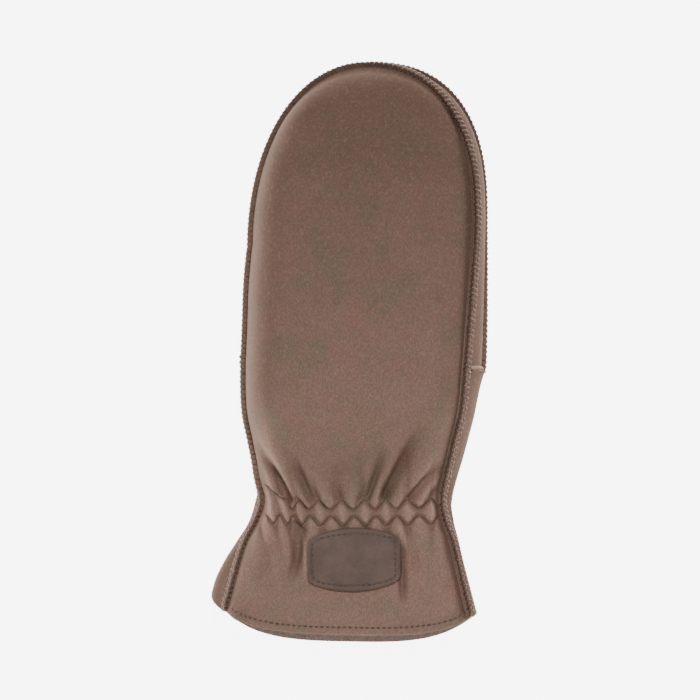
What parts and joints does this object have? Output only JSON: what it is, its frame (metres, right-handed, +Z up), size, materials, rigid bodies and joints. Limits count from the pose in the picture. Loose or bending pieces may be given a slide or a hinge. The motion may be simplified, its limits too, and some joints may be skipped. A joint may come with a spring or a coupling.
{
  "type": "leather mitten",
  "caption": "Suede leather mitten for a left hand, lying on its palm, with a gathered wrist, a flared cuff, a side gusset and a thumb folded under the palm.",
  "frame": {"origin": "centre of the footprint, on the surface that the mitten lies on", "axes": "+Y from the cuff to the fingertips, +X to the gusset's side, +Z up out of the back of the hand"},
  "size_m": [0.1294, 0.2717, 0.0361],
  "materials": {
    "suede": "brushed suede with a short nap, mottled",
    "smooth_leather": "smooth matt leather"
  },
  "bodies": {
    "root": {"back_panel": "suede", "side_gusset": "suede", "palm_upper": "suede", "palm_lower": "suede", "thumb_top": "suede", "label_patch": "smooth_leather"}
  },
  "joints": []
}
